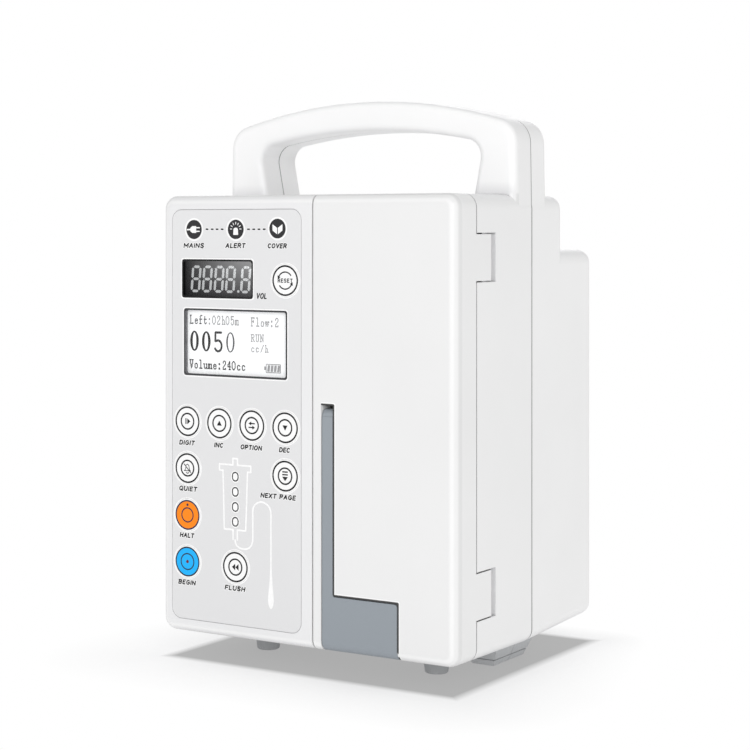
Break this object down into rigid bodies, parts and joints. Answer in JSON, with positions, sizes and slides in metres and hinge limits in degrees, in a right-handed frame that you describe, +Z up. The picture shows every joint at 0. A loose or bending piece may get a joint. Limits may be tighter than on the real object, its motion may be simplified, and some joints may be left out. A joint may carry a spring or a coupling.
{
  "type": "infusion pump",
  "caption": "Upright bedside infusion pump: keypad panel, swing door with L-shaped lever over a finger mechanism, top handle and rear pole clamp.",
  "frame": {"origin": "centre of the footprint's bounding box, on the floor the feet rest on", "axes": "+X to the pump's right as seen from the front, +Y from the front panel to the back, +Z up"},
  "size_m": [0.126, 0.1744, 0.207],
  "materials": {
    "housing": "fine satin moulded ABS",
    "door": "fine satin moulded ABS",
    "overlay": "satin polyester film",
    "key_white": "satin polyester film",
    "key_orange": "satin polyester film",
    "key_blue": "satin polyester film",
    "dark_lens": "polished smoked acrylic",
    "lcd_lens": "polished clear acrylic over a lit panel",
    "lever": "satin moulded plastic",
    "rubber": "matt",
    "seal": "matt",
    "steel": "ground",
    "spring_steel": "drawn wire",
    "black_plastic": "satin",
    "mech_plastic": "satin acetal",
    "finger_plastic": "satin acetal",
    "gear_plastic": "satin nylon",
    "aluminium": "satin anodised",
    "clamp_paint": "powder coat",
    "pcb": "solder-resist green",
    "battery": "shrink film",
    "led": "clear epoxy"
  },
  "bodies": {
    "pump_body": {"front_housing": "housing", "rear_housing": "housing", "housing_screws": "steel", "front_feet": "rubber", "rear_feet": "rubber", "membrane_overlay": "overlay", "led_window": "dark_lens", "lcd_window": "lcd_lens", "led_display": "black_plastic", "lcd_display": "black_plastic", "indicator_leds": "led", "keypad_board": "pcb", "hinge_pins": "steel", "mechanism_frame": "mech_plastic", "shaft_bearings": "steel", "pump_motor": "black_plastic", "encoder_sensor": "black_plastic", "bubble_sensor": "mech_plastic", "occlusion_sensor": "mech_plastic", "main_board": "pcb", "alarm_speaker": "black_plastic", "battery_pack": "battery", "power_supply": "pcb", "mains_inlet": "black_plastic", "pole_clamp_body": "clamp_paint"},
    "door": {"door_shell": "door", "door_inner_plate": "aluminium", "door_seal": "seal", "platen_springs": "spring_steel", "lever_pin": "steel"},
    "lever": {"door_lever": "lever"},
    "latch": {"latch_bar": "steel"},
    "platen": {"pressure_platen": "steel"},
    "cam_drive": {"camshaft": "steel", "camshaft_gear": "gear_plastic", "encoder_disc": "black_plastic"},
    "pinion": {"motor_pinion": "gear_plastic"},
    "flow_clamp_slide": {"flow_clamp": "finger_plastic"},
    "rocker": {"power_rocker": "black_plastic"},
    "clamp_screw": {"clamp_spindle": "steel", "clamp_knob": "black_plastic"},
    "clamp_shoe": {"clamp_pad": "black_plastic"},
    "key_shift_body": {"key_shift": "key_white"},
    "key_up_body": {"key_up": "key_white"},
    "key_select_body": {"key_select": "key_white"},
    "key_down_body": {"key_down": "key_white"},
    "key_silence_body": {"key_silence": "key_white"},
    "key_page_down_body": {"key_page_down": "key_white"},
    "key_stop_body": {"key_stop": "key_orange"},
    "key_start_body": {"key_start": "key_blue"},
    "key_bolus_body": {"key_bolus": "key_white"},
    "key_clear_body": {"key_clear": "key_white"},
    "finger_1_body": {"finger_1": "finger_plastic"},
    "finger_2_body": {"finger_2": "finger_plastic"},
    "finger_3_body": {"finger_3": "finger_plastic"},
    "finger_4_body": {"finger_4": "finger_plastic"},
    "finger_5_body": {"finger_5": "finger_plastic"},
    "finger_6_body": {"finger_6": "finger_plastic"},
    "finger_7_body": {"finger_7": "finger_plastic"},
    "finger_8_body": {"finger_8": "finger_plastic"}
  },
  "joints": [
    {"name": "door_swing", "type": "hinge", "parent": "pump_body", "child": "door", "pos_m": [0.0604, -0.0645, 0.091], "axis": [0, 0, 1], "range_deg": [0, 110]},
    {"name": "door_lever_pull", "type": "hinge", "parent": "door", "child": "lever", "pos_m": [0.0105, -0.084, 0.093], "axis": [-1, 0, 0], "range_deg": [0, 60]},
    {"name": "latch_lift", "type": "slide", "parent": "door", "child": "latch", "axis": [0, 0, 1], "range_m": [0, 0.004]},
    {"name": "platen_float", "type": "slide", "parent": "door", "child": "platen", "axis": [0, -1, 0], "range_m": [0, 0.0012], "stiffness_N_per_m": 4000, "springref_m": -0.001, "deforming": ["platen_springs"]},
    {"name": "camshaft_spin", "type": "hinge", "parent": "pump_body", "child": "cam_drive", "pos_m": [0.033, -0.048, 0.088], "axis": [0, 0, 1], "continuous": true},
    {"name": "motor_pinion_spin", "type": "hinge", "parent": "pump_body", "child": "pinion", "pos_m": [0.0114, -0.048, 0.14], "axis": [0, 0, 1], "continuous": true},
    {"name": "flow_clamp_slide", "type": "slide", "parent": "pump_body", "child": "flow_clamp_slide", "axis": [0, -1, 0], "range_m": [0, 0.0024]},
    {"name": "power_rocker_tilt", "type": "hinge", "parent": "pump_body", "child": "rocker", "pos_m": [0.039, 0.016, 0.0605], "axis": [1, 0, 0], "range_deg": [-6, 6]},
    {"name": "clamp_shoe_travel", "type": "slide", "parent": "pump_body", "child": "clamp_shoe", "axis": [-1, 0, 0], "range_m": [0, 0.009]},
    {"name": "clamp_knob_turn", "type": "hinge", "parent": "clamp_shoe", "child": "clamp_screw", "pos_m": [-0.04, 0.056, 0.087], "axis": [-1, 0, 0], "range_deg": [0, 1080]},
    {"name": "key_shift_press", "type": "slide", "parent": "pump_body", "child": "key_shift_body", "axis": [0, 1, 0], "range_m": [0, 0.0004]},
    {"name": "key_up_press", "type": "slide", "parent": "pump_body", "child": "key_up_body", "axis": [0, 1, 0], "range_m": [0, 0.0004]},
    {"name": "key_select_press", "type": "slide", "parent": "pump_body", "child": "key_select_body", "axis": [0, 1, 0], "range_m": [0, 0.0004]},
    {"name": "key_down_press", "type": "slide", "parent": "pump_body", "child": "key_down_body", "axis": [0, 1, 0], "range_m": [0, 0.0004]},
    {"name": "key_silence_press", "type": "slide", "parent": "pump_body", "child": "key_silence_body", "axis": [0, 1, 0], "range_m": [0, 0.0004]},
    {"name": "key_page_down_press", "type": "slide", "parent": "pump_body", "child": "key_page_down_body", "axis": [0, 1, 0], "range_m": [0, 0.0004]},
    {"name": "key_stop_press", "type": "slide", "parent": "pump_body", "child": "key_stop_body", "axis": [0, 1, 0], "range_m": [0, 0.0004]},
    {"name": "key_start_press", "type": "slide", "parent": "pump_body", "child": "key_start_body", "axis": [0, 1, 0], "range_m": [0, 0.0004]},
    {"name": "key_bolus_press", "type": "slide", "parent": "pump_body", "child": "key_bolus_body", "axis": [0, 1, 0], "range_m": [0, 0.0004]},
    {"name": "key_clear_press", "type": "slide", "parent": "pump_body", "child": "key_clear_body", "axis": [0, 1, 0], "range_m": [0, 0.0004]},
    {"name": "finger_1_push", "type": "slide", "parent": "pump_body", "child": "finger_1_body", "axis": [0, -1, 0], "range_m": [-0.0022, 0]},
    {"name": "finger_2_push", "type": "slide", "parent": "pump_body", "child": "finger_2_body", "axis": [0, -1, 0], "range_m": [-0.00188, 0.00032]},
    {"name": "finger_3_push", "type": "slide", "parent": "pump_body", "child": "finger_3_body", "axis": [0, -1, 0], "range_m": [-0.0011, 0.0011]},
    {"name": "finger_4_push", "type": "slide", "parent": "pump_body", "child": "finger_4_body", "axis": [0, -1, 0], "range_m": [-0.00032, 0.00188]},
    {"name": "finger_5_push", "type": "slide", "parent": "pump_body", "child": "finger_5_body", "axis": [0, -1, 0], "range_m": [0, 0.0022]},
    {"name": "finger_6_push", "type": "slide", "parent": "pump_body", "child": "finger_6_body", "axis": [0, -1, 0], "range_m": [-0.00032, 0.00188]},
    {"name": "finger_7_push", "type": "slide", "parent": "pump_body", "child": "finger_7_body", "axis": [0, -1, 0], "range_m": [-0.0011, 0.0011]},
    {"name": "finger_8_push", "type": "slide", "parent": "pump_body", "child": "finger_8_body", "axis": [0, -1, 0], "range_m": [-0.00188, 0.00032]}
  ],
  "couplings": [
    {"joint": "latch_lift", "follows": "door_lever_pull", "m_per_rad": 0.0038},
    {"joint": "motor_pinion_spin", "follows": "camshaft_spin", "ratio": -2},
    {"joint": "clamp_shoe_travel", "follows": "clamp_knob_turn", "m_per_rad": 0.000477}
  ]
}
